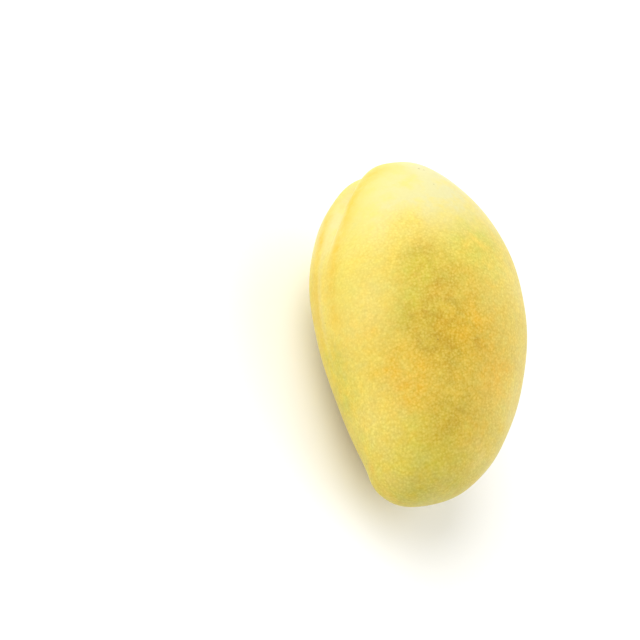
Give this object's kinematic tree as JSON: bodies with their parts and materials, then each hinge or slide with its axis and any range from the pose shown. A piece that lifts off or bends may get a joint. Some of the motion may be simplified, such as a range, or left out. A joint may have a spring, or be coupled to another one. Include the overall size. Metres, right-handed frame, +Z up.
{
  "type": "mango",
  "caption": "Ripe yellow mango lying on one cheek: a slightly flattened oval fruit with a creased edge, a stem hollow and a small low beak.",
  "frame": {"origin": "on the surface that the fruit lies on, under the middle of its bounding box", "axes": "+Y towards the stem end, -X towards the creased edge, +Z up through the upper cheek"},
  "size_m": [0.0788, 0.129, 0.0709],
  "materials": {
    "mango_skin": "matt waxy skin, yellow with a green tinge, an orange blush and fine pale dots"
  },
  "bodies": {
    "root": {"mango": "mango_skin"}
  },
  "joints": []
}
